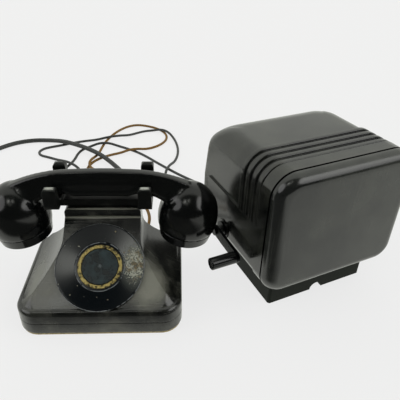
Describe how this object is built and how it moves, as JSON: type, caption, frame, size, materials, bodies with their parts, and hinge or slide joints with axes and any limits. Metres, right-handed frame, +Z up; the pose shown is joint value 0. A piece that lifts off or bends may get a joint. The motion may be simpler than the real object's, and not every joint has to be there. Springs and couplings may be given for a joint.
{
  "type": "field telephone",
  "caption": "Local-battery desk telephone with a cradle handset and blank dial, joined by cord to its hand-cranked generator and bell cabinet.",
  "frame": {"origin": "centre of the telephone's underside, on the table", "axes": "+Z up, +X to the right along the handset's row axis with the cabinet on the right, +Y to the back; the dial faces -Y and up"},
  "size_m": [0.5533, 0.4749, 0.1615],
  "materials": {
    "pad": "matt",
    "bakelite_dark": "semi-gloss, worn",
    "dial_black": "gloss",
    "brass": "worn",
    "steel": "plain",
    "bakelite_grey": "semi-gloss, worn",
    "phenolic": "matt",
    "zinc_steel": "zinc plated",
    "winding": "varnished",
    "rubber": "matt",
    "aluminium": "plain",
    "case_grey": "semi-gloss, scratched",
    "cast_bed": "cast",
    "magnet_steel": "enamelled",
    "nickel": "nickel plated",
    "cord_grey": "satin",
    "cord_braid": "braided",
    "plug_black": "gloss"
  },
  "bodies": {
    "telephone": {"base_pad": "pad", "base_tray": "bakelite_dark", "base_screws": "steel", "housing": "bakelite_dark", "dial_blank": "dial_black", "dial_ring": "brass", "dial_centre": "dial_black", "dial_screw": "steel", "dial_clamp": "steel", "dial_clamp_screws": "steel", "neck_cap": "bakelite_dark", "cap_screw": "steel", "fork_bushes": "brass", "chassis_plate": "zinc_steel", "contact_bracket": "zinc_steel", "contact_springs": "brass", "contact_pile": "phenolic", "induction_coil": "winding", "capacitor": "zinc_steel", "terminal_strip": "phenolic", "cord_glands": "rubber", "plinth": "case_grey", "plinth_screws": "steel", "cord_block": "rubber", "box_shell": "case_grey", "box_cover": "case_grey", "crank_bush": "steel", "generator_bed": "cast_bed", "generator_plates": "brass", "magnets": "magnet_steel", "gongs": "nickel", "gong_posts": "steel", "ringer_frame": "zinc_steel", "ringer_coils": "winding", "ringer_cores": "zinc_steel", "terminal_block": "phenolic", "handset_cord": "cord_grey", "link_cord": "cord_grey", "battery_cord": "cord_braid", "line_plug": "plug_black"},
    "cradle": {"cradle_fork": "bakelite_grey", "fork_stems": "steel", "fork_link": "phenolic"},
    "handset": {"handset_body": "bakelite_grey", "ear_cap": "bakelite_grey", "mouthpiece_cap": "bakelite_grey", "receiver_capsule": "aluminium", "transmitter_capsule": "aluminium", "handset_grommet": "rubber"},
    "crank": {"crank_shaft": "steel", "crank_arm": "steel", "crank_nut": "steel", "handle_pin": "steel", "drive_gear": "brass"},
    "crank_grip": {"crank_handle": "bakelite_dark"},
    "armature": {"armature_core": "zinc_steel", "armature_winding": "winding", "armature_shaft": "steel", "pinion": "brass"},
    "clapper": {"clapper": "brass"}
  },
  "joints": [
    {"name": "handset_lift", "type": "slide", "parent": "telephone", "child": "handset", "axis": [0, 0, 1], "range_m": [0, 0.06]},
    {"name": "cradle_rise", "type": "slide", "parent": "telephone", "child": "cradle", "axis": [0, 0, 1], "range_m": [0, 0.004]},
    {"name": "crank_turn", "type": "hinge", "parent": "telephone", "child": "crank", "pos_m": [0.1127, 0.03045, 0.054], "axis": [0.9227, 0.3854, 0], "range_deg": [-43, 187]},
    {"name": "grip_spin", "type": "hinge", "parent": "crank", "child": "crank_grip", "pos_m": [0.12053, -0.01423, 0.05168], "axis": [0.9227, 0.3854, 0], "continuous": true},
    {"name": "armature_spin", "type": "hinge", "parent": "telephone", "child": "armature", "pos_m": [0.14788, 0.05002, 0.07205], "axis": [0.9227, 0.3854, 0], "range_deg": [-779.18, 179.18]},
    {"name": "clapper_swing", "type": "hinge", "parent": "telephone", "child": "clapper", "pos_m": [0.23805, 0.06764, 0.09475], "axis": [0.9227, 0.3854, 0], "range_deg": [-3, 3]}
  ],
  "couplings": [
    {"joint": "cradle_rise", "follows": "handset_lift", "ratio": 0.066667},
    {"joint": "armature_spin", "follows": "crank_turn", "ratio": -4.1667}
  ]
}
